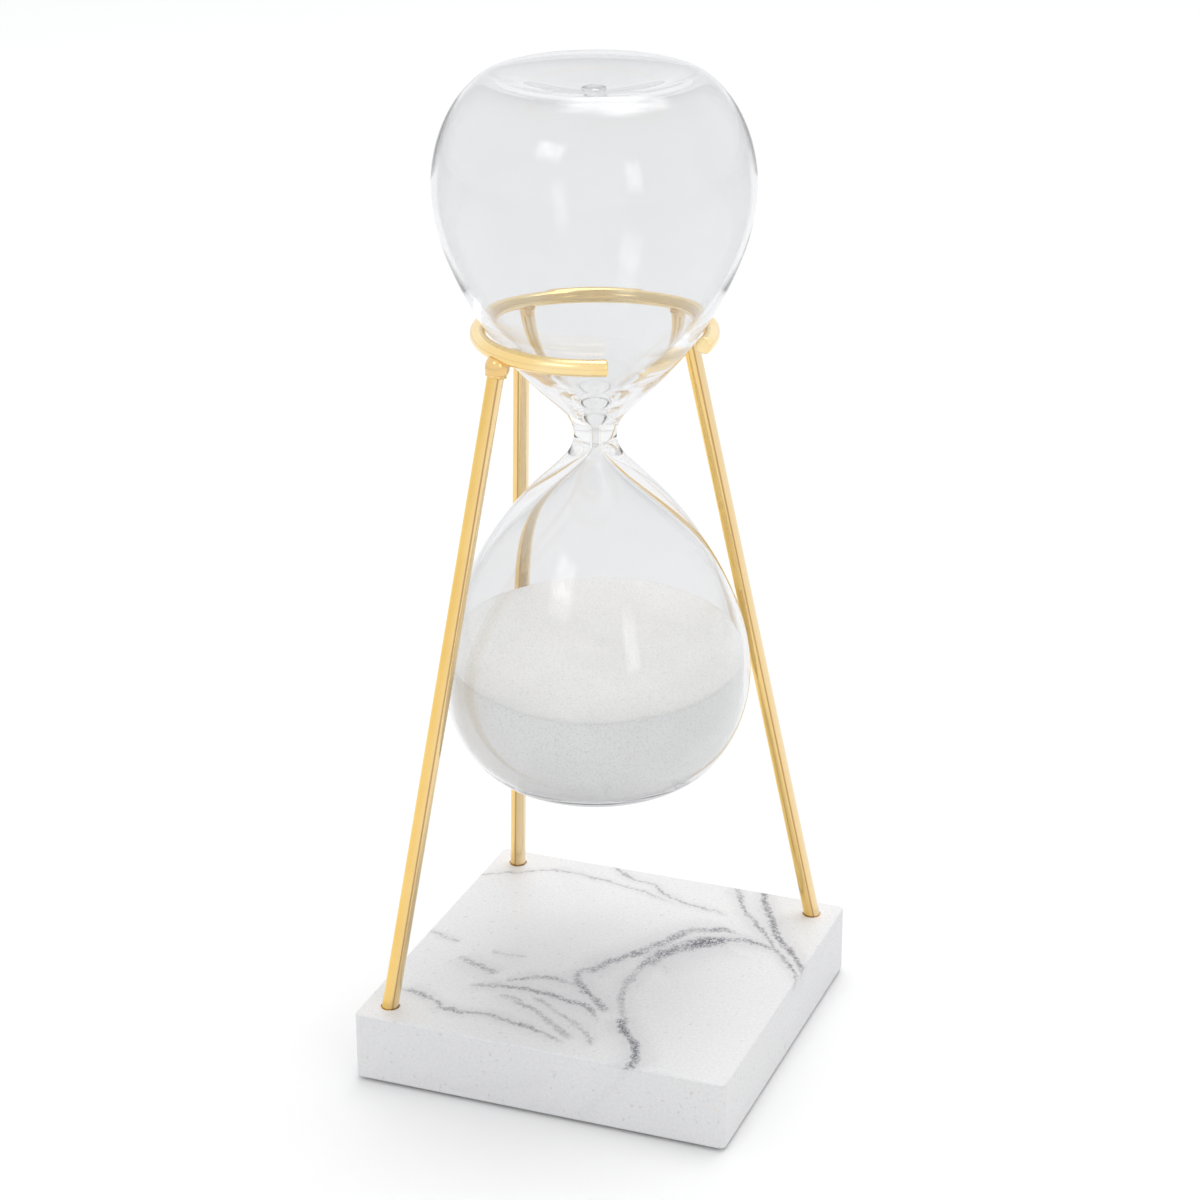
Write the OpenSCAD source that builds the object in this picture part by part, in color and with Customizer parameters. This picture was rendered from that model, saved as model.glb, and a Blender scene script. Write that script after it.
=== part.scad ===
// Hourglass on an open stand.
// A square stone slab carries three slanted rods. The rods hold an open ring, and the cone under the
// upper bulb of the glass rests in that ring, so the lower bulb hangs clear above the slab.
// The origin is the middle of the footprint, at the level of the surface it stands on. -Y is the front.

/* [Base slab] */
// Side of the square slab
slab_w = 120; // [110:1:140]
// Thickness of the slab
slab_t = 22; // [18:1:30]
// Radius of the slab's upright corners
slab_corner_r = 2; // [1.5:0.5:4]
// Chamfer along the slab's edges
slab_chamfer = 0.6; // [0.4:0.1:1.2]
// Diameter of a foot pad
pad_d = 14; // [8:1:18]
// Thickness of a foot pad
pad_t = 1; // [0.6:0.2:2]

/* [Stand] */
// Diameter of the round rod that the legs and the ring are made of
rod_d = 5; // [4.5:0.1:5.4]
// Distance from the slab's middle to each leg's foot, along X and along Y
foot_xy = 51.5; // [48:0.5:52]
// Height of the ring's centre line above the slab
ring_h = 206.6; // [190:0.2:220]
// Radius of the ring's centre line
ring_r = 34; // [34:0.1:34.6]
// The ring's offset from the slab's middle, along X
ring_x = -2.7; // [-4:0.1:2]
// The ring's offset from the slab's middle, along Y
ring_y = -1; // [-3:0.1:2]
// Direction of the ring's free end, at the front
gap_start = -63; // [-70:1:-55]
// Direction of the ring's other end, on the right
gap_end = -3; // [-10:1:5]
// Depth of a leg's socket in the slab
socket_depth = 14; // [10:1:16]
// Diameter of a leg's socket
socket_d = 5.9; // [5.8:0.1:6.4]

/* [Glass] */
// Height from the waist to the rim at the end of a bulb
bulb_h = 108; // [106:0.5:110]
// Largest radius of a bulb
bulb_r = 46.8; // [45:0.2:47]
// Radius of the rim around a bulb's dimpled end
rim_r = 27.5; // [24:0.5:30]
// Depth of the dimple in a bulb's end
dimple_depth = 5; // [3:0.5:7]
// Thickness of a bulb's wall
wall = 1.7; // [1.4:0.1:2]
// Outer radius of the waist
waist_r = 6.4; // [6:0.1:7]
// Radius of the bore that the sand runs through
bore_r = 1.1; // [0.8:0.1:1.4]
// Height of the ring's centre line above the waist
seat_h = 31.3; // [30.5:0.1:31.3]
// Radius of the sealed filling hole in the upper bulb
fill_r = 3; // [2.5:0.1:3.5]

/* [Sand] */
// Depth of the sand's level below the waist, on the axis
sand_drop = 66.5; // [60:0.5:80]
// Slope of the sand's surface, down towards the front right
sand_tilt = 8.5; // [0:0.5:10]

/* [Hidden] */
$fn = 64;

// Stand
rod_r = rod_d / 2;
slab_top = pad_t + slab_t;
ring_z = slab_top + ring_h;
ring_centre = [ring_x, ring_y, ring_z];
pad_xy = slab_w / 2 - 16;
foot_sign = [[-1, -1], [-1, 1], [1, 1]];
head_angle = [-122, 151, 60];
ring_chamfer = 0.6;
rod_end_gap = 0.5;
cement_recess = 1.2;
saddle_overlap = 1.5;

// Glass
waist_z = ring_z - seat_h;
waist_fillet_r = 9.6;
cone_angle = 39;
shoulder_angle = 20.5;
shoulder = [43.2, 56];
belly_h = 75;
bore_half = 3;
sand_gap = 0.3;
sand_towards = -68.9;
axis_xy = [ring_x, ring_y, 0];

// ---- Stand -------------------------------------------------------------------------------------

// The point where leg i's axis crosses the slab's top, and the point on the ring that it aims at
function foot(i) = [foot_xy * foot_sign[i][0], foot_xy * foot_sign[i][1], slab_top];
function head(i) = ring_centre + ring_r * [cos(head_angle[i]), sin(head_angle[i]), 0];
function leg_length(i) = norm(head(i) - foot(i));

// Stands children on leg i's foot, with +Z along its axis and +X level
module on_leg(i) {
    run = head(i) - foot(i);
    translate(foot(i))
        rotate([0, acos(run[2] / norm(run)), atan2(run[1], run[0])])
            rotate([0, 0, -90])
                children();
}

// The slab's square outline, with rounded corners
module slab_outline() {
    c = slab_w / 2 - slab_corner_r;
    square([slab_w, 2 * c], center = true);
    square([2 * c, slab_w], center = true);
    for (x = [-c, c], y = [-c, c])
        translate([x, y])
            circle(slab_corner_r);
}

module base_slab() {
    color("gainsboro")
        difference() {
            translate([0, 0, pad_t])
                linear_extrude(slab_t)
                    slab_outline();
            for (side = [0 : 3], z = [pad_t, slab_top])
                rotate([0, 0, 90 * side])
                    translate([slab_w / 2, 0, z])
                        rotate([0, 45, 0])
                            cube([slab_chamfer * sqrt(2), 2 * slab_w, slab_chamfer * sqrt(2)], center = true);
            for (i = [0 : 2])
                on_leg(i)
                    translate([0, 0, -socket_depth])
                        cylinder(d = socket_d, h = socket_depth + rod_d);
        }
}

module foot_pad(x, y) {
    color("dimgray")
        translate([x * pad_xy, y * pad_xy, 0])
            cylinder(d = pad_d, h = pad_t);
}

// The ring's full round wire, which the legs and braze are cut to fit
module ring_wire() {
    translate(ring_centre)
        rotate_extrude()
            translate([ring_r, 0])
                circle(rod_r);
}

module leg(i) {
    color("goldenrod")
        difference() {
            on_leg(i)
                translate([0, 0, rod_end_gap - socket_depth])
                    cylinder(r = rod_r, h = leg_length(i) + socket_depth - rod_end_gap - saddle_overlap);
            ring_wire();
        }
}

// What a chamfer cuts off the wire's end, where the end face is at z = 0 and the wire lies below it
module chamfer_cut() {
    spare = 0.5;
    rotate_extrude()
        polygon([
            [rod_r - ring_chamfer - spare, spare],
            [rod_r + spare, -ring_chamfer - spare],
            [rod_r + spare, spare]
        ]);
}

module cradle_ring() {
    color("goldenrod")
        translate(ring_centre)
            difference() {
                rotate([0, 0, gap_end])
                    rotate_extrude(angle = 360 + gap_start - gap_end)
                        translate([ring_r, 0])
                            circle(rod_r);
                rotate([0, 0, gap_end])
                    translate([ring_r, 0, 0])
                        rotate([90, 0, 0])
                            chamfer_cut();
                rotate([0, 0, gap_start])
                    translate([ring_r, 0, 0])
                        rotate([-90, 0, 0])
                            chamfer_cut();
            }
}

// A bead of brazing metal round leg i under the ring: end radius r, bulge past it, height h
module braze(i, r, bulge, h) {
    arc_r = (h * h / 4 + bulge * bulge) / (2 * bulge);
    color("darkgoldenrod")
        difference() {
            on_leg(i)
                translate([0, 0, leg_length(i) - rod_r - h / 2])
                    rotate_extrude()
                        intersection() {
                            translate([r + bulge - arc_r, 0])
                                circle(arc_r);
                            translate([0, -h / 2])
                                square([r + bulge, h]);
                        }
            on_leg(i)
                cylinder(r = rod_r, h = leg_length(i));
            ring_wire();
        }
}

// The cement that fills leg i's socket around and under the rod
module cement(i) {
    color("silver")
        on_leg(i)
            difference() {
                translate([0, 0, -socket_depth])
                    cylinder(d = socket_d, h = socket_depth - cement_recess);
                translate([0, 0, rod_end_gap - socket_depth])
                    cylinder(r = rod_r, h = socket_depth);
            }
}

// ---- Glass -------------------------------------------------------------------------------------

// Outlines are [radius, height above the waist]. A heading of 0 runs up, and 90 runs outwards.
function heading(a) = [sin(a), cos(a)];
function reverse(points) = [for (i = [len(points) - 1 : -1 : 0]) points[i]];
// n points along a cubic curve from a to d, without a itself
function curve(a, b, c, d, n) = [
    for (i = [1 : n])
        let (t = i / n, u = 1 - t)
            u * u * u * a + 3 * u * u * t * b + 3 * u * t * t * c + t * t * t * d
];
// The point on the shoulder, set in from the outer surface by w
function shoulder_at(w) = shoulder + w * [-cos(shoulder_angle), sin(shoulder_angle)];
// From the shoulder over the belly, the rim and the dimple to the axis, set in by w
function bulb_curve(w) = let (belly = [bulb_r - w, belly_h], rim = [rim_r, bulb_h - w], middle = rim - [rim_r, dimple_depth])
    concat(
        curve(shoulder_at(w), shoulder_at(w) + 6 * heading(shoulder_angle), belly - [0, 6], belly, 4),
        curve(belly, belly + [0, 20], rim + [7, 0], rim, 12),
        curve(rim, rim - [7, 0], middle + [12, 0], middle, 8)
    );
// Outside of the neck, from the waist to the shoulder
waist_arc = [for (i = [0 : 5]) let (a = cone_angle * i / 5) [waist_r + waist_fillet_r * (1 - cos(a)), waist_fillet_r * sin(a)]];
neck_outside = concat(
    waist_arc,
    curve(waist_arc[5], waist_arc[5] + 10 * heading(cone_angle), shoulder - 33 * heading(shoulder_angle), shoulder, 14)
);
// Inside of the neck, from the bore to the shoulder: the glass is thickest around the waist
function neck_inside(w) = concat(
    [[bore_r, 0], [bore_r, bore_half]],
    curve([bore_r, bore_half], [bore_r, 4 * bore_half], shoulder_at(w) - 38 * heading(shoulder_angle), shoulder_at(w), 12)
);

module half_vessel() {
    rotate_extrude()
        polygon(concat(neck_outside, bulb_curve(0), reverse(bulb_curve(wall)), reverse(neck_inside(wall))));
}

module upper_bulb() {
    color("lightcyan", 0.35)
        translate(axis_xy + [0, 0, waist_z])
            difference() {
                half_vessel();
                translate([0, 0, bulb_h / 2])
                    cylinder(r = fill_r, h = bulb_h);
            }
}

module lower_bulb() {
    color("lightcyan", 0.35)
        translate(axis_xy + [0, 0, waist_z])
            mirror([0, 0, 1])
                half_vessel();
}

// The glass button that closes the filling hole, with a domed head outside
module fill_seal() {
    head_r = fill_r + 1.4;
    head_h = 1.2;
    dome_r = (head_r * head_r + head_h * head_h) / (2 * head_h);
    color("azure", 0.5)
        translate(axis_xy + [0, 0, waist_z + bulb_h - dimple_depth])
            rotate_extrude() {
                translate([0, -wall])
                    square([fill_r, wall + head_h / 2]);
                intersection() {
                    translate([0, head_h - dome_r])
                        circle(dome_r, $fn = 128);
                    translate([0, 0.4])
                        square([head_r, head_h]);
                }
            }
}

// Sand in the lower bulb, with a sloping top and a small pit where the stream fell
module sand() {
    pit_r = 2.4;
    pit_depth = 1.4;
    over = 2 * slab_w;
    color("whitesmoke")
        translate(axis_xy + [0, 0, waist_z])
            difference() {
                mirror([0, 0, 1])
                    rotate_extrude()
                        polygon(concat([[0, bore_half]], neck_inside(wall + sand_gap), bulb_curve(wall + sand_gap)));
                translate([0, 0, -sand_drop])
                    rotate([0, 0, sand_towards])
                        rotate([0, sand_tilt, 0]) {
                            translate([-over / 2, -over / 2, 0])
                                cube(over);
                            translate([0, 0, -pit_depth])
                                cylinder(r1 = 0.2, r2 = pit_r, h = pit_depth);
                        }
            }
}

// ---- Drawing -----------------------------------------------------------------------------------

base_slab();
foot_pad(-1, -1);  // foot_pad_front_left
foot_pad(1, -1);  // foot_pad_front_right
foot_pad(-1, 1);  // foot_pad_back_left
foot_pad(1, 1);  // foot_pad_back_right
leg(0);  // leg_front_left
leg(1);  // leg_back_left
leg(2);  // leg_back_right
cradle_ring();
braze(0, 2.9, 0.7, 5);  // braze_front_left
braze(1, 2.7, 0.2, 2.4);  // braze_back_left
braze(2, 2.7, 0.2, 2.4);  // braze_back_right
cement(0);  // cement_front_left
cement(1);  // cement_back_left
cement(2);  // cement_back_right
upper_bulb();
lower_bulb();
fill_seal();
sand();
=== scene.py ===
"""Looks for the hourglass on its open stand: glass, sand, gold-coloured rod and a veined stone slab.

Everything is in metres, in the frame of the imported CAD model, and placed from that model's own boxes.
"""

import math

import bmesh
import bpy
import numpy as np
from mathutils import Matrix, Vector, noise


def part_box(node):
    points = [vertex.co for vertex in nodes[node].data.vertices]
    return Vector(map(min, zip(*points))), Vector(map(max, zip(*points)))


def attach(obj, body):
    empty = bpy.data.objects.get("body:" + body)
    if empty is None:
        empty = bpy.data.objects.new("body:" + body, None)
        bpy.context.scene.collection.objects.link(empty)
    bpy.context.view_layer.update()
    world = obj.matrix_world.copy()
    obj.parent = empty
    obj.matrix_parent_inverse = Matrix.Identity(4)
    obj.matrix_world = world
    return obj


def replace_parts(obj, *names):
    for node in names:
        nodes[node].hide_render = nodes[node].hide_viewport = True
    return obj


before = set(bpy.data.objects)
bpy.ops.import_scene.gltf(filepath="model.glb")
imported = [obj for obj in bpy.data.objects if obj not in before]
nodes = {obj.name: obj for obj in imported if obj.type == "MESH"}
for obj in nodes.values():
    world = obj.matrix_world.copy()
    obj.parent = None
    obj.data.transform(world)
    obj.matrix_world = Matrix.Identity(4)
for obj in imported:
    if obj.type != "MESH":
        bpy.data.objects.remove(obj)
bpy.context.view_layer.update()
MM = 0.001

# ---- Places and sizes, from the frame ------------------------------------------------------------

slab_lo, slab_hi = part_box("base_slab")
ring_lo, ring_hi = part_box("cradle_ring")
bulb_lo, bulb_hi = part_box("upper_bulb")

SLAB_TOP = slab_hi.z
ROD_R = (ring_hi.z - ring_lo.z) / 2
RING_R = (ring_hi.x - ring_lo.x) / 2 - ROD_R
RING_C = (ring_lo + ring_hi) / 2
WAIST = Vector(((bulb_lo.x + bulb_hi.x) / 2, (bulb_lo.y + bulb_hi.y) / 2, bulb_lo.z))
BULB_H = bulb_hi.z - bulb_lo.z
BULB_R = (bulb_hi.x - bulb_lo.x) / 2

LEGS = ["front_left", "back_left", "back_right"]
# Where the legs' middle lines meet the slab's top: this far from its middle both ways, in these corners
FOOT_XY = 51.5 * MM
FOOT_SIGN = [(-1, -1), (-1, 1), (1, 1)]
# Degrees round the ring from +X towards +Y: the legs' heads, and the ring's gap
HEAD_ANGLE = [-122, 151, 60]
GAP_START, GAP_END = -63, -3


# ---- Meshes ----------------------------------------------------------------------------------------


def mesh_object(name, verts, faces, smooth=True):
    mesh = bpy.data.meshes.new(name)
    mesh.from_pydata([tuple(v) for v in verts], [], faces)
    mesh.validate()
    mesh.polygons.foreach_set("use_smooth", [smooth] * len(mesh.polygons))
    mesh.update()
    obj = bpy.data.objects.new(name, mesh)
    bpy.context.scene.collection.objects.link(obj)
    return obj


def skin_faces(rings, turns):
    """Faces of a closed skin: one vertex at the bottom, some rings of vertices, and one vertex at the top."""
    top = 1 + rings * turns
    last = top - turns
    faces = []
    for k in range(turns):
        k2 = (k + 1) % turns
        faces.append((0, 1 + k2, 1 + k))
        for i in range(rings - 1):
            a, b = 1 + i * turns, 1 + (i + 1) * turns
            faces.append((a + k, a + k2, b + k2, b + k))
        faces.append((last + k, last + k2, top))
    return faces


def revolve(profile, turns):
    """Vertices and faces of a closed solid of revolution about Z. The profile's two ends are on the axis."""
    verts = [(0, 0, profile[0][1])]
    for r, z in profile[1:-1]:
        for k in range(turns):
            a = 2 * math.pi * k / turns
            verts.append((r * math.cos(a), r * math.sin(a), z))
    verts.append((0, 0, profile[-1][1]))
    return verts, skin_faces(len(profile) - 2, turns)


# ---- Outlines of the glass -------------------------------------------------------------------------
# Points are (radius, height above the waist). A heading of 0 runs up, and 90 runs outwards.

WALL = 1.7 * MM
WAIST_R = 6.4 * MM
# The bore is straight for this far above and below the waist
BORE_R, BORE_HALF = 1.1 * MM, 3 * MM
# The waist's outer round ends at the neck's heading
FILLET_R, FILLET_STEPS = 9.6 * MM, 12
NECK_HEADING = 39
SHOULDER_HEADING = 20.5
SHOULDER = np.array([43.2, 56]) * MM
BELLY_H = 75 * MM
RIM_R = 27.5 * MM
DIMPLE_DEPTH = 5 * MM
# How far each curve runs on straight, about, before it bends
NECK_PULL, UNDER_SHOULDER_PULL = 10 * MM, 33 * MM
BORE_PULL, BORE_SHOULDER_PULL = 9 * MM, 38 * MM
SHOULDER_PULL, OVER_BELLY_PULL, RIM_PULL, DIMPLE_PULL = 6 * MM, 20 * MM, 7 * MM, 12 * MM


def heading(angle):
    return np.array([math.sin(math.radians(angle)), math.cos(math.radians(angle))])


def curve(a, b, c, d, steps):
    """Points of a smooth curve from a to d, without a itself. It leaves towards b and arrives from c."""
    t = np.linspace(0, 1, steps + 1)[1:, None]
    u = 1 - t
    return u**3 * a + 3 * u * u * t * b + 3 * u * t * t * c + t**3 * d


def shoulder_at(inset):
    angle = math.radians(SHOULDER_HEADING)
    return SHOULDER + inset * np.array([-math.cos(angle), math.sin(angle)])


def bulb_curve(inset):
    """The bulb from the shoulder up to the middle of its dimpled end, this far inside the outer skin."""
    shoulder = shoulder_at(inset)
    belly = np.array([BULB_R - inset, BELLY_H])
    rim = np.array([RIM_R, BULB_H - inset])
    middle = rim - [RIM_R, DIMPLE_DEPTH]
    along = SHOULDER_PULL * heading(SHOULDER_HEADING)
    return np.vstack([
        curve(shoulder, shoulder + along, belly - [0, SHOULDER_PULL], belly, steps=16),
        curve(belly, belly + [0, OVER_BELLY_PULL], rim + [RIM_PULL, 0], rim, steps=40),
        curve(rim, rim - [RIM_PULL, 0], middle + [DIMPLE_PULL, 0], middle, steps=24),
    ])


def neck_outside():
    turn = np.radians(np.linspace(0, NECK_HEADING, FILLET_STEPS + 1))
    arc = np.column_stack([WAIST_R + FILLET_R * (1 - np.cos(turn)), FILLET_R * np.sin(turn)])
    end = arc[-1]
    leave = end + NECK_PULL * heading(NECK_HEADING)
    arrive = SHOULDER - UNDER_SHOULDER_PULL * heading(SHOULDER_HEADING)
    return np.vstack([arc, curve(end, leave, arrive, SHOULDER, steps=40)])


def neck_inside(inset):
    bore_end = np.array([BORE_R, BORE_HALF])
    shoulder = shoulder_at(inset)
    arrive = shoulder - BORE_SHOULDER_PULL * heading(SHOULDER_HEADING)
    bend = curve(bore_end, bore_end + [0, BORE_PULL], arrive, shoulder, steps=40)
    return np.vstack([[[BORE_R, 0], bore_end], bend])


# ---- Glass -----------------------------------------------------------------------------------------

GLASS_TURNS = 192


def glass_mesh():
    """Both bulbs as one shell: an outer skin, and an inner skin whose faces look inwards."""
    outer = np.vstack([neck_outside(), bulb_curve(0)])
    inner = np.vstack([neck_inside(WALL), bulb_curve(WALL)])
    # Each outline runs up from the waist, and its mirror image makes the lower bulb
    skins = [revolve(np.vstack([half[:0:-1] * [1, -1], half]), GLASS_TURNS) for half in (outer, inner)]
    (outer_verts, outer_faces), (inner_verts, inner_faces) = skins
    start = len(outer_verts)
    faces = outer_faces + [tuple(start + i for i in reversed(face)) for face in inner_faces]
    return mesh_object("glass_vessel", [Vector(v) + WAIST for v in outer_verts + inner_verts], faces)


glass = glass_mesh()

# ---- Sand ------------------------------------------------------------------------------------------

# Between the sand and the glass
SAND_GAP = 0.12 * MM
# Level of the sand under the waist, its slope, and the direction in which it falls, from +X towards +Y
SAND_DROP = 66.5 * MM
SAND_TILT = math.radians(8.5)
SAND_TOWARDS = math.radians(-68.9)
PIT_R, PIT_DEPTH = 3.2 * MM, 1.6 * MM
DUNE_HEIGHT, DUNE_SCALE = 0.35 * MM, 40
GRAIN_HEIGHT, GRAIN_SCALE = 0.15 * MM, 900
SAND_TURNS, SIDE_RINGS, TOP_RINGS = 288, 60, 110
# Below 1, the rings on top stand closer together near the glass
TOP_SPACING = 0.8


def sand_height(x, y):
    """Height of the sand's surface at a place off the axis: a tilted plane with dunes, grain and a pit."""
    downhill = x * math.cos(SAND_TOWARDS) + y * math.sin(SAND_TOWARDS)
    z = -SAND_DROP - math.tan(SAND_TILT) * downhill
    z += DUNE_HEIGHT * noise.noise(Vector((x, y, 0)) * DUNE_SCALE)
    z += GRAIN_HEIGHT * noise.noise(Vector((x, y, 3)) * GRAIN_SCALE)
    z -= PIT_DEPTH * math.exp(-((math.hypot(x, y) / PIT_R) ** 2))
    return z


def sand_mesh():
    inset = WALL + SAND_GAP
    side = np.vstack([neck_inside(inset), bulb_curve(inset)])[::-1] * [1, -1]
    length = np.concatenate([[0], np.cumsum(np.linalg.norm(np.diff(side, axis=0), axis=1))])
    past_dimple = len(side) // 3
    turns = [2 * math.pi * k / SAND_TURNS for k in range(SAND_TURNS)]
    # How far along the side the sand reaches, all the way round
    reach = []
    for a in turns:
        above = [z - sand_height(r * math.cos(a), r * math.sin(a)) for r, z in side]
        i = next(j for j in range(past_dimple, len(side)) if above[j] > 0)
        share = above[i - 1] / (above[i - 1] - above[i])
        reach.append(length[i - 1] + share * (length[i] - length[i - 1]))
    verts = [(0, 0, side[0][1])]
    for j in range(1, SIDE_RINGS + 1):
        for k, a in enumerate(turns):
            at = reach[k] * j / SIDE_RINGS
            r, z = np.interp(at, length, side[:, 0]), np.interp(at, length, side[:, 1])
            verts.append((r * math.cos(a), r * math.sin(a), z))
    rim = verts[-SAND_TURNS:]
    for j in range(1, TOP_RINGS):
        share = (1 - j / TOP_RINGS) ** TOP_SPACING
        for x, y, _ in rim:
            verts.append((x * share, y * share, sand_height(x * share, y * share)))
    verts.append((0, 0, sand_height(0, 0)))
    faces = skin_faces(SIDE_RINGS + TOP_RINGS - 1, SAND_TURNS)
    return mesh_object("sand_fill", [Vector(v) + WAIST for v in verts], faces)


sand = sand_mesh()

# ---- Stand -----------------------------------------------------------------------------------------

# A leg stops this far before the ring's centre line, and its ends are rounded by these radii
LEG_SHORT = 0.9 * MM
LEG_FOOT_ROUND, LEG_HEAD_ROUND = 0.3 * MM, 0.9 * MM
LEG_STEPS = 40
ROD_TURNS = 64

# Outlines of the two kinds of brazed joint, in millimetres: away from the leg's axis, and along it from the
# ring's centre line
KNOB = [(2.3, -6.9), (2.8, -6.85), (3.2, -6.6), (3.25, -6.3), (3.15, -6.05), (3.35, -5.6),
        (3.55, -4.8), (3.6, -4.0), (3.5, -3.0), (3.2, -2.0), (2.7, -1.2)]
FILLET = [(2.45, -6.0), (2.53, -5.6), (2.6, -4.4), (2.8, -3.2), (3.1, -2.3), (2.9, -1.6)]

RING_TURNS, RING_STEPS = 48, 240
RING_END_ROUND = 0.6 * MM
ROUND_STEPS = 6

SLAB_CORNER_ROUND, SLAB_EDGE_ROUND = 2 * MM, 0.75 * MM
SOCKET_R, SOCKET_DEPTH = 2.95 * MM, 14 * MM
# How far a socket's cutter stands out of the slab
CUTTER_SPARE = 5 * MM
# Heights closer than this count as level
LEVEL = 1e-6
# The slab's flat sides are larger than this, in square metres, and its rounded faces are smaller
FLAT_AREA = 4e-4


def foot(i):
    return Vector((FOOT_XY * FOOT_SIGN[i][0], FOOT_XY * FOOT_SIGN[i][1], SLAB_TOP))


def head(i):
    a = math.radians(HEAD_ANGLE[i])
    return RING_C + RING_R * Vector((math.cos(a), math.sin(a), 0))


def leg_length(i):
    return (head(i) - foot(i)).length


def leg_frame(i):
    """A matrix at leg i's foot, with +Z along the leg and +X turned towards the front."""
    z = (head(i) - foot(i)).normalized()
    x = Vector((0, -1, 0))
    x = (x - x.dot(z) * z).normalized()
    y = z.cross(x)
    matrix = Matrix((x, y, z)).transposed().to_4x4()
    matrix.translation = foot(i)
    return matrix


def on_leg(i, name, profile, smooth=True):
    """A revolved piece round leg i's axis. The profile's heights start at the slab's top."""
    obj = mesh_object(name, *revolve(profile, ROD_TURNS), smooth)
    obj.matrix_world = leg_frame(i)
    return obj


def rounded_end(at, rounding, up):
    """Points of a rod's rounded end: from the axis outwards at the foot, and back to it where up is 1."""
    points = []
    for k in range(ROUND_STEPS + 1):
        t = math.pi / 2 * k / ROUND_STEPS
        points.append((ROD_R - rounding + rounding * math.sin(t), at - up * rounding * (1 - math.cos(t))))
    return [(0, at)] + points if up < 0 else points[::-1] + [(0, at)]


def leg_mesh(i):
    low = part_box("leg_" + LEGS[i])[0].z - SLAB_TOP
    high = leg_length(i) - LEG_SHORT
    shaft = [(ROD_R, low + (high - low) * k / LEG_STEPS) for k in range(1, LEG_STEPS)]
    foot_end = rounded_end(low, LEG_FOOT_ROUND, -1)
    head_end = rounded_end(high, LEG_HEAD_ROUND, 1)
    return on_leg(i, "leg_rod_" + LEGS[i], foot_end + shaft + head_end)


def spline(points, steps=6):
    """A smooth line through all the points, which are given in millimetres."""
    p = np.array(points, float) * MM
    ends = np.vstack([2 * p[0] - p[1], p, 2 * p[-1] - p[-2]])
    out = [tuple(p[0])]
    for i in range(1, len(ends) - 2):
        a, b, c, d = ends[i - 1 : i + 3]
        for k in range(1, steps + 1):
            t = k / steps
            linear = (c - a) * t
            square = (2 * a - 5 * b + 4 * c - d) * t * t
            cube = (3 * b - a - 3 * c + d) * t**3
            out.append(tuple(0.5 * (2 * b + linear + square + cube)))
    return out


def bead(i, outline):
    line = [(r, z + leg_length(i)) for r, z in spline(outline)]
    return on_leg(i, "brazed_joint_" + LEGS[i], [(0, line[0][1])] + line + [(0, line[-1][1])])


def ring_mesh():
    """The open ring: a round wire along an arc, with rounded ends."""
    start, end = math.radians(GAP_END), math.radians(360 + GAP_START)
    rounding = RING_END_ROUND
    # Rows along the wire, as (angle round the ring, radius of the wire there)
    tip = []
    for k in range(ROUND_STEPS, -1, -1):
        t = math.pi / 2 * k / ROUND_STEPS
        tip.append((start + rounding * (1 - math.sin(t)) / RING_R, ROD_R - rounding + rounding * math.cos(t)))
    straight = end - start - 2 * rounding / RING_R
    body = [(start + rounding / RING_R + straight * k / RING_STEPS, ROD_R) for k in range(1, RING_STEPS)]
    rows = tip + body + [(start + end - a, r) for a, r in tip[::-1]]
    verts, faces = [], []
    for a, r in rows:
        out = Vector((math.cos(a), math.sin(a), 0))
        for k in range(RING_TURNS):
            b = 2 * math.pi * k / RING_TURNS
            verts.append(RING_C + out * (RING_R + r * math.cos(b)) + Vector((0, 0, r * math.sin(b))))
    for j in range(len(rows) - 1):
        a, b = j * RING_TURNS, (j + 1) * RING_TURNS
        for k in range(RING_TURNS):
            k2 = (k + 1) % RING_TURNS
            faces.append((a + k, b + k, b + k2, a + k2))
    faces.append(tuple(range(RING_TURNS)))
    faces.append(tuple(reversed(range(len(verts) - RING_TURNS, len(verts)))))
    return mesh_object("cradle_wire", verts, faces)


def slab_mesh():
    """The stone slab: rounded upright corners, softly rounded edges and the three leg sockets."""

    def is_level(edge):
        return abs(edge.verts[0].co.z - edge.verts[1].co.z) < LEVEL

    bm = bmesh.new()
    bmesh.ops.create_cube(bm, size=1)
    for v in bm.verts:
        v.co = Vector([slab_lo[k] + (v.co[k] + 0.5) * (slab_hi[k] - slab_lo[k]) for k in range(3)])
    upright = [e for e in bm.edges if not is_level(e)]
    bmesh.ops.bevel(bm, geom=upright, offset=SLAB_CORNER_ROUND, segments=8, profile=0.5, affect="EDGES")
    # The top and the bottom are now the only faces with more than four corners
    outline = [e for e in bm.edges if is_level(e) and any(len(f.verts) > 4 for f in e.link_faces)]
    bmesh.ops.bevel(bm, geom=outline, offset=SLAB_EDGE_ROUND, segments=4, profile=0.5, affect="EDGES")
    for f in bm.faces:
        f.smooth = f.calc_area() < FLAT_AREA
    mesh = bpy.data.meshes.new("stone_slab")
    bm.to_mesh(mesh)
    bm.free()
    obj = bpy.data.objects.new("stone_slab", mesh)
    bpy.context.scene.collection.objects.link(obj)
    socket = [(0, -SOCKET_DEPTH), (SOCKET_R, -SOCKET_DEPTH), (SOCKET_R, CUTTER_SPARE), (0, CUTTER_SPARE)]
    cutters = [on_leg(i, f"cutter_{i}", socket, smooth=False) for i in range(len(LEGS))]
    for i, cutter in enumerate(cutters):
        cut = obj.modifiers.new(f"socket_{i}", "BOOLEAN")
        cut.object, cut.operation, cut.solver = cutter, "DIFFERENCE", "EXACT"
    bpy.context.view_layer.update()
    done = bpy.data.meshes.new_from_object(obj.evaluated_get(bpy.context.evaluated_depsgraph_get()))
    obj.modifiers.clear()
    obj.data = done
    for cutter in cutters:
        bpy.data.objects.remove(cutter)
    return obj


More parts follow.
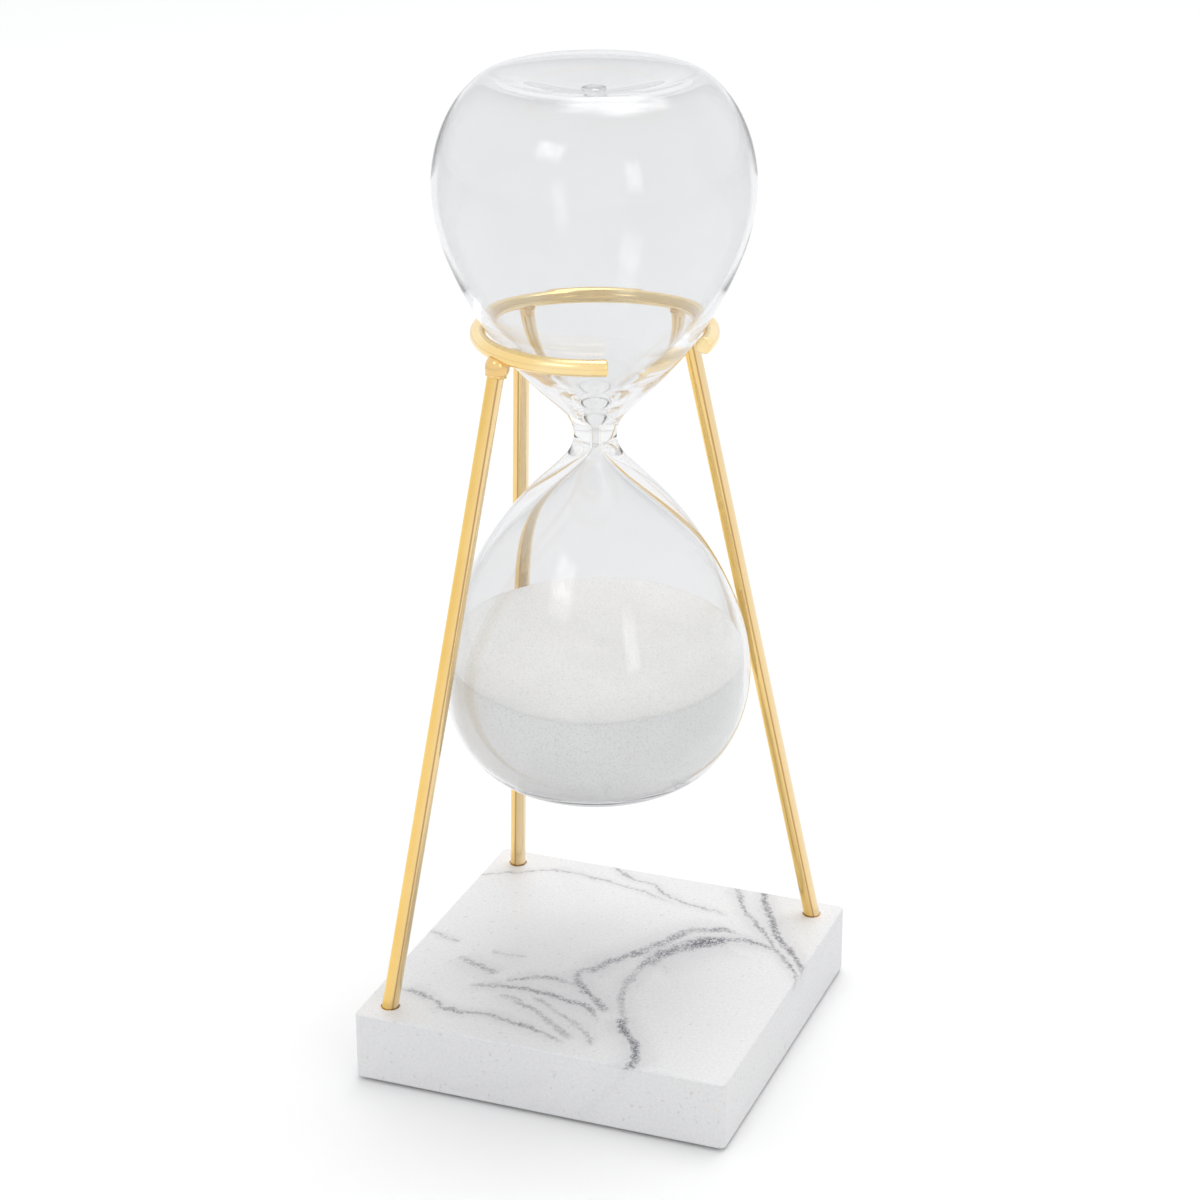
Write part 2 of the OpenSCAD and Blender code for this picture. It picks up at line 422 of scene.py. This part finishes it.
ring = ring_mesh()
legs = [leg_mesh(i) for i in range(len(LEGS))]
joints = [bead(i, outline) for i, outline in enumerate((KNOB, FILLET, FILLET))]
slab = slab_mesh()

# ---- Materials -------------------------------------------------------------------------------------


class Nodes:
    """Short ways to add and link shader nodes in one node tree. Noise is sampled at the given coordinates.

    Sockets whose names repeat on a node, or depend on its mode, are taken by their place.
    """

    def __init__(self, tree, coord):
        self.tree = tree
        self.coord = coord

    def link(self, a, b):
        self.tree.links.new(a, b)

    def put(self, value, socket):
        if isinstance(value, bpy.types.NodeSocket):
            self.link(value, socket)
        else:
            socket.default_value = value

    def math(self, op, a, b=0.0, c=0.0):
        n = self.tree.nodes.new("ShaderNodeMath")
        n.operation = op
        for value, socket in zip((a, b, c), n.inputs):
            self.put(value, socket)
        return n.outputs[0]

    def vector(self, op, a, b=(0, 0, 0), scale=1.0):
        n = self.tree.nodes.new("ShaderNodeVectorMath")
        n.operation = op
        self.put(a, n.inputs[0])
        self.put(b, n.inputs[1])
        n.inputs[3].default_value = scale
        return n.outputs["Value" if op == "DOT_PRODUCT" else "Vector"]

    def noise(self, scale, detail=2.0, rough=0.5, colour=False):
        n = self.tree.nodes.new("ShaderNodeTexNoise")
        n.inputs["Scale"].default_value = scale
        n.inputs["Detail"].default_value = detail
        n.inputs["Roughness"].default_value = rough
        self.link(self.coord, n.inputs["Vector"])
        return n.outputs["Color" if colour else "Fac"]

    def map(self, value, low, high, start=0.0, end=1.0, smooth=True):
        """Takes values from low to high to values from start to end, and holds them outside."""
        n = self.tree.nodes.new("ShaderNodeMapRange")
        n.interpolation_type = "SMOOTHSTEP" if smooth else "LINEAR"
        self.put(value, n.inputs["Value"])
        for key, v in zip(("From Min", "From Max", "To Min", "To Max"), (low, high, start, end)):
            self.put(v, n.inputs[key])
        return n.outputs["Result"]

    def mix(self, share, a, b):
        n = self.tree.nodes.new("ShaderNodeMix")
        n.data_type = "RGBA"
        self.put(share, n.inputs[0])
        self.put(a, n.inputs[6])
        self.put(b, n.inputs[7])
        return n.outputs[2]

    def curve(self, value, points):
        n = self.tree.nodes.new("ShaderNodeFloatCurve")
        line = n.mapping.curves[0]
        for x, y in points[1:-1]:
            line.points.new(x, y)
        line.points[0].location = points[0]
        line.points[len(line.points) - 1].location = points[-1]
        n.mapping.update()
        self.put(value, n.inputs["Value"])
        return n.outputs[0]

    def split(self, vector):
        n = self.tree.nodes.new("ShaderNodeSeparateXYZ")
        self.link(vector, n.inputs[0])
        return n.outputs


class Surface(Nodes):
    """A material with one Principled shader, sampled in the object's own coordinates."""

    def __init__(self, name):
        self.material = bpy.data.materials.new(name)
        self.material.use_nodes = True
        tree = self.material.node_tree
        tree.nodes.clear()
        out = tree.nodes.new("ShaderNodeOutputMaterial")
        self.shader = tree.nodes.new("ShaderNodeBsdfPrincipled")
        super().__init__(tree, tree.nodes.new("ShaderNodeTexCoord").outputs["Object"])
        self.link(self.shader.outputs[0], out.inputs["Surface"])

    def bump(self, height, distance, strength=1.0):
        n = self.tree.nodes.new("ShaderNodeBump")
        n.inputs["Strength"].default_value = strength
        n.inputs["Distance"].default_value = distance
        self.put(height, n.inputs["Height"])
        self.link(n.outputs[0], self.shader.inputs["Normal"])

    def set(self, **sockets):
        for key, value in sockets.items():
            self.put(value, self.shader.inputs[key.replace("_", " ")])


def grey(v):
    return (v, v, v, 1)


# Nearly all of a noise's values lie in here
NOISE_RANGE = (0.3, 0.7)

GLASS_TINT = [(0.855, 0.858, 0.862, 1), (0.869, 0.871, 0.875, 1)]
GLASS_EDGE_ABSORPTION_AND_SHADE = (0.60, 0.61, 0.63, 1)


def glass_material():
    m = Surface("clear_glass")
    tint = m.mix(m.map(m.noise(scale=35), *NOISE_RANGE), *GLASS_TINT)
    slant = m.tree.nodes.new("ShaderNodeLayerWeight").outputs["Facing"]
    m.set(
        # A slanting path through the wall is longer, so the edges are a little darker; most of this darkening
        # is painted shade for the glass's dark outlines
        Base_Color=m.mix(m.map(slant, 0.5, 1.0), tint, GLASS_EDGE_ABSORPTION_AND_SHADE),
        Roughness=0.0,
        IOR=1.47,
        Transmission_Weight=1.0,
    )
    m.bump(m.noise(scale=28, detail=1), distance=0.12 * MM, strength=0.6)
    return m.material


SAND_WHITE = [(0.84, 0.838, 0.825, 1), (0.87, 0.868, 0.86, 1)]
SAND_SHADE = (0.56, 0.56, 0.545, 1)


def sand_material():
    m = Surface("white_sand")
    grain = m.noise(scale=1900, detail=3, rough=0.7)
    base = m.mix(m.map(m.noise(scale=60, detail=3), 0.35, 0.7), *SAND_WHITE)
    # Painted shade in the hollows between the grains: they are mixed up to halfway towards the shade colour
    m.set(Base_Color=m.mix(m.map(grain, 0.36, 0.5, 0.5, 0.0), base, SAND_SHADE), Roughness=0.85)
    m.bump(grain, distance=0.12 * MM, strength=0.8)
    return m.material


WIRE_GOLD = [(0.90, 0.66, 0.28, 1), (0.95, 0.76, 0.42, 1)]
ROD_GOLD = [(0.87, 0.56, 0.13, 1), (0.91, 0.61, 0.17, 1)]
SOLDER_GOLD = [(0.80, 0.53, 0.21, 1), (0.90, 0.65, 0.30, 1)]
SHEEN_GOLD = (0.84, 0.68, 0.44, 1)
DARK_REFLECTION_GOLD = (0.46, 0.28, 0.11, 1)
# Where each leg's painted dark reflection line is, in degrees round the rod from its front
DARK_REFLECTION_ANGLE = [38, 1, 31]
# How far from its middle the painted dark reflection line starts and stops fading, in radians round the rod
DARK_REFLECTION_CORE, DARK_REFLECTION_EDGE = 0.03, 0.17


def gold_material(name, tones, dark_reflection_angle=None):
    """Gold-coloured metal under a thin lacquer.

    A rod has a painted dark reflection, a fine dull line along it, and painted sheen that makes it paler on
    one side of that line.
    """
    m = Surface(name)
    base = m.mix(m.map(m.noise(scale=55, detail=3), *NOISE_RANGE), *tones)
    rough = m.map(m.noise(scale=180, detail=3), *NOISE_RANGE, 0.16, 0.26)
    if dark_reflection_angle is not None:
        x, y, _ = m.split(m.coord)
        past_dark_reflection = m.math("SUBTRACT", m.math("ARCTAN2", y, x), math.radians(dark_reflection_angle))
        # Painted sheen: one side of the rod is paler, standing in for a reflection of white light in its
        # lacquer
        sheen_side = m.math("MULTIPLY_ADD", m.math("SINE", past_dark_reflection), 0.5, 0.5)
        base = m.mix(sheen_side, base, SHEEN_GOLD)
        # Painted dark reflection: a thin dark line along the rod, where a dark gap between lights would
        # reflect
        line = m.map(m.math("ABSOLUTE", past_dark_reflection), DARK_REFLECTION_CORE, DARK_REFLECTION_EDGE, 1.0, 0.0)
        # The painted dark reflection's strength wanders along the rod
        dark_reflection = m.math("MULTIPLY", line, m.map(m.noise(scale=14), *NOISE_RANGE, 0.8, 1.0))
        base = m.mix(dark_reflection, base, DARK_REFLECTION_GOLD)
        rough = m.math("MULTIPLY_ADD", dark_reflection, 0.3, rough)
    m.set(Base_Color=base, Metallic=1.0, Roughness=rough, Coat_Weight=0.35, Coat_Roughness=0.08)
    m.bump(m.noise(scale=900), distance=0.02 * MM, strength=0.2)
    return m.material


# Veins of the stone: (x, y) in millimetres on the slab's top, then width in millimetres and darkness
VEINS = [
    ([(-63, 37), (-47, 46), (-36, 51), (-24, 50), (-10, 47), (8, 42)], 1.0, 0.55),
    ([(-20, 62), (-12, 54), (-4, 52), (1, 48), (11, 44), (26, 41)], 1.3, 0.6),
    ([(24, 63), (26, 53), (32, 44), (39, 36), (48, 24), (56, 14), (62, 5)], 1.7, 0.8),
    ([(32, 62), (36, 51), (41, 42), (46, 33), (52, 26), (62, 12)], 2.4, 0.85),
    ([(48, 24), (41, 26), (32, 25), (23, 21), (16, 12), (13, 4), (12, -6)], 3.4, 0.95),
    ([(31, 24), (25, 21), (19, 15), (15, 9), (13, 1)], 6.0, 1.0),
    ([(14, 4), (12, -6), (12, -16), (15, -27), (19, -34)], 2.6, 0.55),
    ([(17, -33), (22, -41), (26, -46), (29, -52), (30, -62)], 3.2, 0.9),
    ([(34, 30), (23, 29), (17, 24), (12, 15), (7, 5), (0, -5), (-3, -12)], 3.6, 0.75),
    ([(-2, -6), (-4, -13), (-1, -20), (6, -26), (12, -32)], 3.0, 0.75),
    ([(-43, -16), (-36, -19), (-29, -22)], 2.8, 0.6),
    ([(-33, -30), (-25, -28), (-14, -27), (-3, -29), (6, -32), (11, -39)], 2.4, 0.75),
    ([(-25, -24), (-15, -19), (-6, -18), (2, -22), (7, -28)], 2.4, 0.65),
    ([(-52, -40), (-42, -43), (-33, -47), (-22, -46), (-10, -48), (6, -53)], 1.9, 0.7),
    ([(-22, -33), (-12, -37), (-2, -43), (8, -50)], 2.2, 0.5),
    ([(-12, -31), (0, -38), (10, -45), (16, -52)], 2.0, 0.5),
    ([(-60, -3), (-54, -5), (-47, -6)], 1.2, 0.5),
    ([(-36, -8), (-30, -9), (-24, -9)], 2.0, 0.3),
]
# How far a vein drifts sideways for each millimetre down into the stone
VEIN_DRIFT = 0.75
# A vein's core and the faint halo round it fade between these multiples of its half width
VEIN_HALF = 0.62 * MM
VEIN_CORE, VEIN_HALO = (0.15, 1.5), (0.5, 5)
HALO_STRENGTH = 0.16
# A vein fades in and out between these shares of the straight line between its ends
VEIN_START, VEIN_END = (-0.05, 0.06), (0.9, 1.04)
# Room beside that line, as a share of the vein's own bend, and the least room
VEIN_ROOM, VEIN_LEAST_ROOM = 1.3, 4 * MM
# How far the two noises push the veins aside
WIDE_WANDER, FINE_WANDER = 5 * MM, 3.2 * MM
VEIN_COLOUR = (0.07, 0.07, 0.095, 1)

STONE_TONES = [(0.66, 0.66, 0.675, 1), (0.69, 0.69, 0.695, 1)]
STONE_GRAIN = (0.50, 0.50, 0.495, 1)
STONE_SIDE_PAINTED_LIGHT = (0.82, 0.82, 0.825, 1)
STONE_RUST = (0.78, 0.60, 0.46, 1)
STONE_SPECK = (0.36, 0.35, 0.35, 1)


def vein(m, at, depth, points, width, dark, speckle):
    """A mask along one vein, from 0 to dark: the distance from a smooth curve through its points."""
    p = np.array(points, float) * MM
    chord = p[-1] - p[0]
    size = float(np.linalg.norm(chord))
    along, across = chord / size, np.array([-chord[1], chord[0]]) / size
    # The curve's node works in a strip from -spread to spread beside the chord
    spread = max(VEIN_ROOM * float(np.abs((p - p[0]) @ across).max()), VEIN_LEAST_ROOM)
    knots = [((q - p[0]) @ along / size, 0.5 + (q - p[0]) @ across / (2 * spread)) for q in p]
    from_start = m.vector("SUBTRACT", at, (p[0][0], p[0][1], 0))
    u = m.vector("DOT_PRODUCT", from_start, (along[0] / size, along[1] / size, 0))
    sideways = m.vector("DOT_PRODUCT", from_start, (across[0], across[1], 0))
    v = m.math("MULTIPLY_ADD", depth, VEIN_DRIFT, sideways)
    line = m.math("MULTIPLY_ADD", m.curve(u, knots), 2 * spread, -spread)
    off = m.math("ABSOLUTE", m.math("SUBTRACT", v, line))
    half = width * VEIN_HALF
    core = m.map(off, VEIN_CORE[0] * half, VEIN_CORE[1] * half, 1.0, 0.0)
    halo = m.map(off, VEIN_HALO[0] * half, VEIN_HALO[1] * half, HALO_STRENGTH, 0.0)
    fade_ends = m.math("MULTIPLY", m.map(u, *VEIN_START), m.map(u, *VEIN_END, 1.0, 0.0))
    body = m.math("MAXIMUM", m.math("MULTIPLY", core, speckle), halo)
    return m.math("MULTIPLY", m.math("MULTIPLY", body, fade_ends), dark)


def all_veins(m, depth):
    """The mask of all the veins. Two noises make their lines wander, and two more break them into specks."""
    wide = m.vector("SUBTRACT", m.noise(scale=95, colour=True), (0.5, 0.5, 0.5))
    fine = m.vector("SUBTRACT", m.noise(scale=420, detail=3, rough=0.65, colour=True), (0.5, 0.5, 0.5))
    at = m.vector("ADD", m.coord, m.vector("SCALE", wide, scale=WIDE_WANDER))
    at = m.vector("ADD", at, m.vector("SCALE", fine, scale=FINE_WANDER))
    small = m.map(m.noise(scale=1500, detail=3, rough=0.7), 0.36, 0.58, 0.2, 1.0)
    broad = m.map(m.noise(scale=130), 0.3, 0.56, 0.62, 1.0)
    speckle = m.math("MULTIPLY", small, broad)
    mask = None
    for points, width, dark in VEINS:
        one = vein(m, at, depth, points, width, dark, speckle)
        mask = one if mask is None else m.math("MAXIMUM", mask, one)
    return mask


def marble_material():
    m = Surface("veined_marble")
    x, _, z = m.split(m.coord)
    depth = m.math("SUBTRACT", SLAB_TOP, z)
    grain = m.map(m.noise(scale=1000, detail=3, rough=0.6), *NOISE_RANGE)
    base = m.mix(m.map(m.noise(scale=22, detail=4, rough=0.6), *NOISE_RANGE), *STONE_TONES)
    base = m.mix(m.math("MULTIPLY", grain, 0.3), base, STONE_GRAIN)
    # The sides begin in the top's rounded edge, and are a little paler: painted light on the upright faces
    side = m.map(depth, 0.2 * MM, 1.6 * MM)
    base = m.mix(m.math("MULTIPLY", side, 0.12), base, STONE_SIDE_PAINTED_LIGHT)
    rust = m.map(m.noise(scale=75, detail=3, rough=0.6), 0.68, 0.78)
    base = m.mix(m.math("MULTIPLY", rust, 0.35), base, STONE_RUST)
    specks = m.map(m.noise(scale=560, detail=1), 0.68, 0.76)
    base = m.mix(m.math("MULTIPLY", specks, 0.3), base, STONE_SPECK)
    # The veins run on down the right side and hardly show on the other three
    hidden_share = m.map(x, slab_hi.x - 1.4 * MM, slab_hi.x - 0.4 * MM, 0.94, 0.35)
    shown = m.math("SUBTRACT", 1.0, m.math("MULTIPLY", side, hidden_share))
    mask = m.math("MULTIPLY", all_veins(m, depth), shown)
    m.set(
        Base_Color=m.mix(mask, base, VEIN_COLOUR),
        Roughness=m.map(grain, 0.0, 1.0, 0.34, 0.5, smooth=False),
    )
    m.bump(grain, distance=0.02 * MM, strength=0.4)
    return m.material


CEMENT_TONES = [(0.66, 0.62, 0.55, 1), (0.76, 0.73, 0.67, 1)]
RUBBER_TONES = [grey(0.16), grey(0.22)]
# The bump's pattern is this many times finer than the colour's
BUMP_FINER = 8


def simple_material(name, tones, rough, scale):
    m = Surface(name)
    m.set(Base_Color=m.mix(m.noise(scale, detail=3), *tones), Roughness=rough)
    m.bump(m.noise(scale * BUMP_FINER), distance=0.05 * MM, strength=0.4)
    return m.material


def paint(obj, material):
    obj.data.materials.clear()
    obj.data.materials.append(material)


clear, white, marble = glass_material(), sand_material(), marble_material()
gold = gold_material("gold_wire", WIRE_GOLD)
rods = [gold_material("gold_rod_" + name, ROD_GOLD, angle) for name, angle in zip(LEGS, DARK_REFLECTION_ANGLE)]
solder = gold_material("gold_solder", SOLDER_GOLD)
cement = simple_material("pale_cement", CEMENT_TONES, rough=0.85, scale=300)
rubber = simple_material("clear_rubber", RUBBER_TONES, rough=0.6, scale=200)

paint(glass, clear)
paint(sand, white)
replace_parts(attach(glass, "vessel"), "upper_bulb", "lower_bulb")
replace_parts(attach(sand, "vessel"), "sand")
paint(slab, marble)
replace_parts(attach(slab, "stand"), "base_slab")
paint(ring, gold)
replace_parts(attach(ring, "stand"), "cradle_ring")
for i, name in enumerate(LEGS):
    paint(legs[i], rods[i])
    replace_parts(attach(legs[i], "stand"), "leg_" + name)
    paint(joints[i], solder)
    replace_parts(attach(joints[i], "stand"), "braze_" + name)
paint(nodes["fill_seal"], clear)
for name, node in nodes.items():
    if name.startswith("cement_"):
        paint(node, cement)
    if name.startswith("foot_pad"):
        paint(node, rubber)

# ---- Floor and lights ------------------------------------------------------------------------------

FLOOR_HALF = 6.0
FLOOR_TONES = [grey(0.775), grey(0.79)]
# How far in a light's edges fade, as a share of its width, and how fine the pattern across it is
EDGE_FADE = 0.28
CURTAIN_SCALE = 4
SKY_COLOUR, SKY_STRENGTH = (0.99, 0.993, 1.0, 1), 1.05
LIGHT_BOUNCES = 40


def floor():
    corners = [(x * FLOOR_HALF, y * FLOOR_HALF, 0) for x, y in ((-1, -1), (1, -1), (1, 1), (-1, 1))]
    obj = mesh_object("studio_floor", corners, [(0, 1, 2, 3)], smooth=False)
    m = Surface("studio_white")
    m.set(Base_Color=m.mix(m.noise(scale=3), *FLOOR_TONES), Roughness=0.9, Specular_IOR_Level=0.0)
    paint(obj, m.material)


def soften(light):
    """Fades a light out towards its four edges, unevenly, as a curtained window does."""
    light.use_nodes = True
    tree = light.node_tree
    # Across the light, both coordinates run from 0 to 1
    n = Nodes(tree, tree.nodes.new("ShaderNodeNewGeometry").outputs["Parametric"])
    strength = n.noise(CURTAIN_SCALE)
    x, y, _ = n.split(n.coord)
    for across in (x, y):
        from_edge = n.math("PINGPONG", across, 0.5)
        strength = n.math("MULTIPLY", strength, n.map(from_edge, 0, EDGE_FADE))
    n.link(strength, tree.nodes["Emission"].inputs["Strength"])


def window(name, azimuth, elevation, distance, radiance, width, height):
    """A soft rectangle that faces the waist, placed by its direction: azimuth 0 is the front, 90 the right.

    The radiance is the one before its edges fade.
    """
    a, e = math.radians(azimuth), math.radians(elevation)
    towards = Vector((math.sin(a) * math.cos(e), -math.cos(a) * math.cos(e), math.sin(e)))
    light = bpy.data.lights.new(name, "AREA")
    light.shape = "RECTANGLE"
    light.size, light.size_y = width, height
    light.energy = radiance * math.pi * width * height
    soften(light)
    obj = bpy.data.objects.new(name, light)
    obj.location = WAIST + distance * towards
    obj.rotation_mode = "QUATERNION"
    obj.rotation_quaternion = (-towards).to_track_quat("-Z", "Y")
    bpy.context.scene.collection.objects.link(obj)


floor()
window("window_left", azimuth=-17, elevation=39, distance=2.2, radiance=4.2, width=0.95, height=0.7)
window("window_right", azimuth=50, elevation=20, distance=2.4, radiance=2.8, width=0.6, height=1.1)
window("top", azimuth=175, elevation=72, distance=2.2, radiance=8.5, width=1.7, height=1.7)

world = bpy.data.worlds.new("studio")
world.use_nodes = True
sky = world.node_tree.nodes["Background"]
sky.inputs["Color"].default_value = SKY_COLOUR
sky.inputs["Strength"].default_value = SKY_STRENGTH
bpy.context.scene.world = world
bpy.context.scene.view_settings.view_transform = "Standard"
# The thick glass at the waist needs long light paths, and the sand is lit through clear glass
bpy.context.scene.cycles.blur_glossy = 0
for bounces in ("max_bounces", "transmission_bounces", "glossy_bounces"):
    setattr(bpy.context.scene.cycles, bounces, LIGHT_BOUNCES)

# ---- Camera ----------------------------------------------------------------------------------------

# It looks down a little from the front right, with a long lens. Azimuth 0 is the front, 90 the right.
CAM_AZIMUTH, CAM_ELEVATION, CAM_ROLL = (math.radians(a) for a in (21.1, 22.34, -0.224))
CAM_DISTANCE = 0.9508
# The point that it looks at: this far to the right of the origin, as it sees it, and this far above the floor
CAM_TARGET_SIDE = -1.7 * MM
CAM_TARGET_Z = 145.3 * MM
# In millimetres, as Blender takes them
CAM_LENS, CAM_SENSOR = 94.76, 36
CAM_NEAR, CAM_FAR = 0.05, 50


def add_camera():
    ca, sa = math.cos(CAM_AZIMUTH), math.sin(CAM_AZIMUTH)
    ce, se = math.cos(CAM_ELEVATION), math.sin(CAM_ELEVATION)
    cr, sr = math.cos(CAM_ROLL), math.sin(CAM_ROLL)
    back = Vector((ce * sa, -ce * ca, se))
    level_right = Vector((ca, sa, 0))
    level_up = Vector((-se * sa, se * ca, ce))
    right, up = cr * level_right + sr * level_up, -sr * level_right + cr * level_up
    target = CAM_TARGET_SIDE * level_right + Vector((0, 0, CAM_TARGET_Z))
    camera = bpy.data.objects.new("camera", bpy.data.cameras.new("camera"))
    camera.matrix_world = Matrix((right, up, back)).transposed().to_4x4()
    camera.matrix_world.translation = target + CAM_DISTANCE * back
    camera.data.lens, camera.data.sensor_width = CAM_LENS, CAM_SENSOR
    camera.data.clip_start, camera.data.clip_end = CAM_NEAR, CAM_FAR
    bpy.context.scene.collection.objects.link(camera)
    bpy.context.scene.camera = camera


add_camera()
